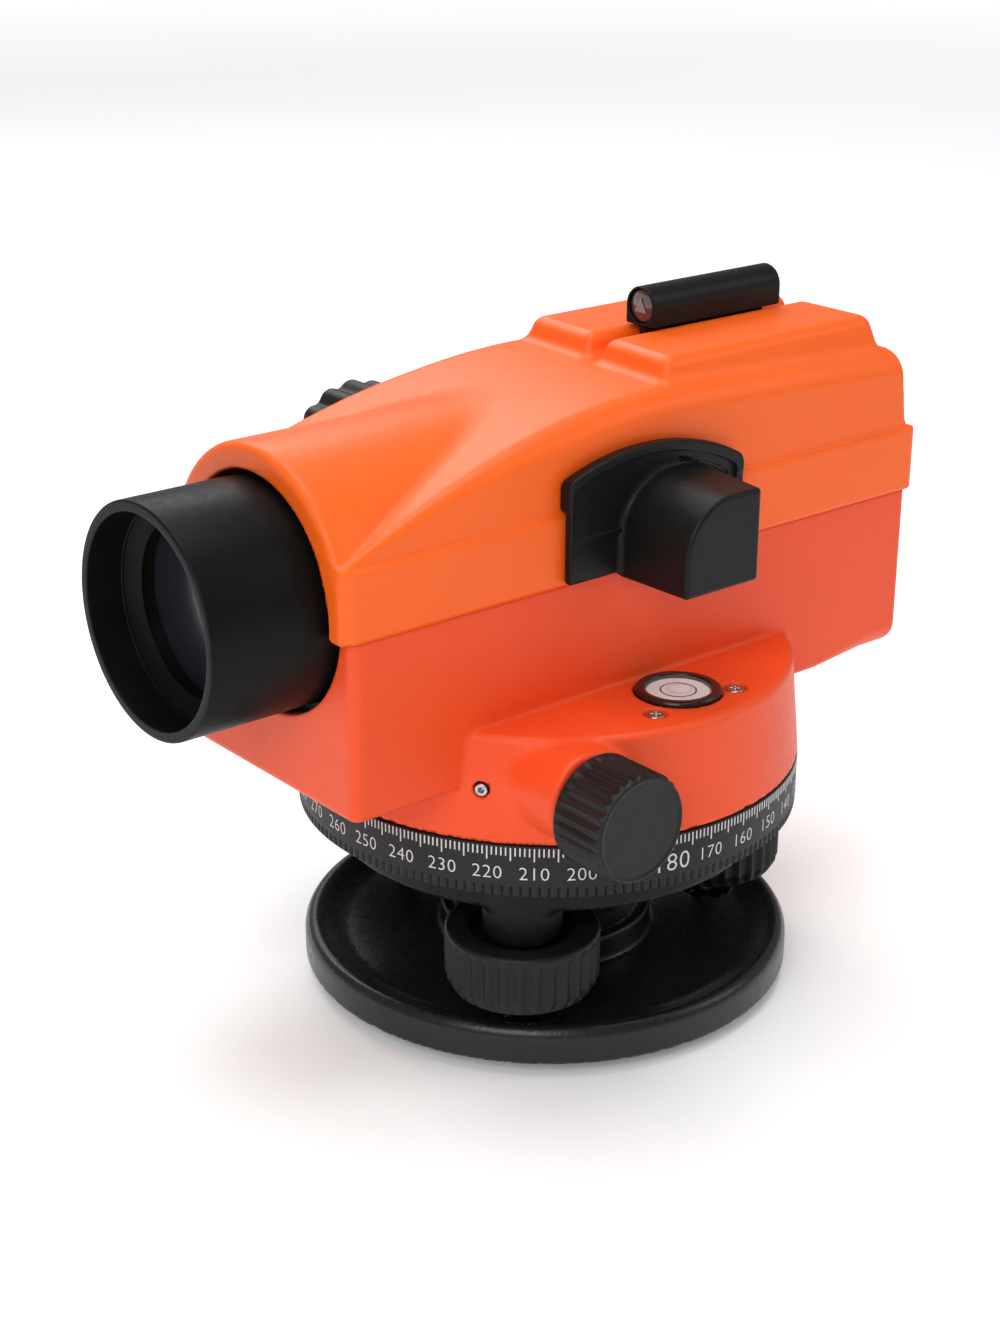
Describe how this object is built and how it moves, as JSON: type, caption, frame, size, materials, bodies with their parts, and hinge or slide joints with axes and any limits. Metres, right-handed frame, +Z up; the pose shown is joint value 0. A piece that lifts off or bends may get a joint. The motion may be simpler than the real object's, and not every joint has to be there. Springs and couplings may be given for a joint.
{
  "type": "automatic level",
  "caption": "Surveying automatic level: hooded telescope with pendulum compensator, circular bubble and mirror, turning over a graduated circle on a base with levelling screws.",
  "frame": {"origin": "centre of the object's bounding box at its underside, on the vertical axis of the instrument", "axes": "+X along the telescope from objective to eyepiece, +Y towards the focusing knob, +Z up along the vertical axis"},
  "size_m": [0.21, 0.1356, 0.1584],
  "materials": {
    "orange_casting": "satin",
    "orange_cover": "satin",
    "black_enamel": "satin",
    "black_plastic": "matte",
    "knob_plastic": "matte",
    "circle_enamel": "matte",
    "rubber": "matte",
    "steel": "satin",
    "brass": "satin",
    "aluminium": "satin",
    "lens_glass": "polished",
    "mirror": "polished",
    "vial_white": "gloss"
  },
  "bodies": {
    "base": {"mounting_plate": "black_enamel", "base_plate": "black_enamel", "tripod_thread_bush": "brass"},
    "front_foot": {"front_foot_knob": "knob_plastic", "front_foot_screw": "steel"},
    "levelling_head": {"levelling_head": "black_enamel", "axis_sleeve": "brass"},
    "rear_foot": {"rear_foot_knob": "knob_plastic", "rear_foot_screw": "steel"},
    "side_foot": {"side_foot_knob": "knob_plastic", "side_foot_screw": "steel"},
    "circle": {"horizontal_circle": "circle_enamel"},
    "clutch_wheel": {"worm_wheel": "brass"},
    "tangent_drive": {"worm_shaft": "steel", "near_tangent_knob": "knob_plastic", "far_tangent_knob": "knob_plastic"},
    "focus_drive": {"focus_knob": "knob_plastic", "focus_pinion": "steel"},
    "focus_slide": {"focus_carriage": "aluminium", "focusing_lens": "lens_glass", "focus_rack": "brass"},
    "dioptre": {"dioptre_ring": "knob_plastic"},
    "eyepiece": {"eyepiece_cell": "black_enamel", "field_lens": "lens_glass", "eye_lens": "lens_glass", "eyecup": "rubber"},
    "pendulum": {"pendulum": "brass", "pendulum_prism": "lens_glass"},
    "alidade": {"spindle": "steel", "lower_housing": "orange_casting", "upper_cover": "orange_cover", "cover_screw_1": "steel", "cover_screw_2": "steel", "cover_screw_3": "steel", "cover_screw_4": "steel", "bubble_cup": "black_plastic", "bubble_dish": "vial_white", "bubble_vial": "lens_glass", "bubble_screw_1": "steel", "bubble_screw_2": "steel", "clamp_grub_screw": "steel", "mirror_housing": "black_plastic", "bubble_mirror": "mirror", "sight_tube": "black_plastic", "sight_front_lens": "lens_glass", "objective_hood": "black_enamel", "objective_cell": "black_enamel", "objective_retainer": "black_enamel", "objective_crown_lens": "lens_glass", "objective_flint_lens": "lens_glass", "objective_bracket": "aluminium", "focus_tube": "black_enamel", "compensator_frame": "aluminium", "suspension_band": "steel", "front_prism": "lens_glass", "roof_prism": "lens_glass", "damper_magnet": "steel", "reticle_cell": "brass", "reticle_glass": "lens_glass", "eyepiece_mount": "black_enamel"}
  },
  "joints": [
    {"name": "front_foot_turn", "type": "hinge", "parent": "base", "child": "front_foot", "pos_m": [-0.03189, -0.02943, 0.0094], "axis": [0, 0, -1], "range_deg": [-546, 546]},
    {"name": "levelling_tilt", "type": "hinge", "parent": "base", "child": "levelling_head", "pos_m": [0.01595, 0.01472, 0.0094], "axis": [-0.6782, 0.7349, 0], "range_deg": [-1, 1]},
    {"name": "rear_foot_turn", "type": "hinge", "parent": "levelling_head", "child": "rear_foot", "pos_m": [0.04144, -0.01291, 0.0094], "axis": [0, 0, -1], "range_deg": [-540, 540]},
    {"name": "side_foot_turn", "type": "hinge", "parent": "levelling_head", "child": "side_foot", "pos_m": [-0.00954, 0.04234, 0.0094], "axis": [0, 0, -1], "range_deg": [-540, 540]},
    {"name": "circle_turn", "type": "hinge", "parent": "levelling_head", "child": "circle", "pos_m": [0, 0, 0.0502], "axis": [0, 0, 1], "continuous": true},
    {"name": "coarse_swing", "type": "hinge", "parent": "levelling_head", "child": "clutch_wheel", "pos_m": [0, 0, 0.0676], "axis": [0, 0, 1], "continuous": true},
    {"name": "fine_swing", "type": "hinge", "parent": "clutch_wheel", "child": "alidade", "pos_m": [0, 0, 0.0676], "axis": [0, 0, 1], "continuous": true},
    {"name": "tangent_turn", "type": "hinge", "parent": "alidade", "child": "tangent_drive", "pos_m": [-0.0328, 0, 0.0676], "axis": [0, 1, 0], "continuous": true},
    {"name": "focus_turn", "type": "hinge", "parent": "alidade", "child": "focus_drive", "pos_m": [-0.018, 0, 0.1165], "axis": [0, 1, 0], "range_deg": [-153, 153]},
    {"name": "focus_travel", "type": "slide", "parent": "alidade", "child": "focus_slide", "axis": [1, 0, 0], "range_m": [-0.008, 0.008]},
    {"name": "dioptre_turn", "type": "hinge", "parent": "alidade", "child": "dioptre", "pos_m": [0.0945, 0, 0.1097], "axis": [1, 0, 0], "range_deg": [-120, 120]},
    {"name": "dioptre_travel", "type": "slide", "parent": "alidade", "child": "eyepiece", "axis": [1, 0, 0], "range_m": [-0.00115, 0.00115]},
    {"name": "pendulum_swing", "type": "hinge", "parent": "alidade", "child": "pendulum", "pos_m": [0.032, 0, 0.1237], "axis": [0, 1, 0], "range_deg": [-0.5, 0.5]}
  ],
  "couplings": [
    {"joint": "front_foot_turn", "follows": "levelling_tilt", "ratio": 545.38},
    {"joint": "tangent_turn", "follows": "fine_swing", "ratio": 72},
    {"joint": "focus_turn", "follows": "focus_travel", "rad_per_m": -333.33},
    {"joint": "dioptre_turn", "follows": "dioptre_travel", "rad_per_m": 1818.2}
  ]
}
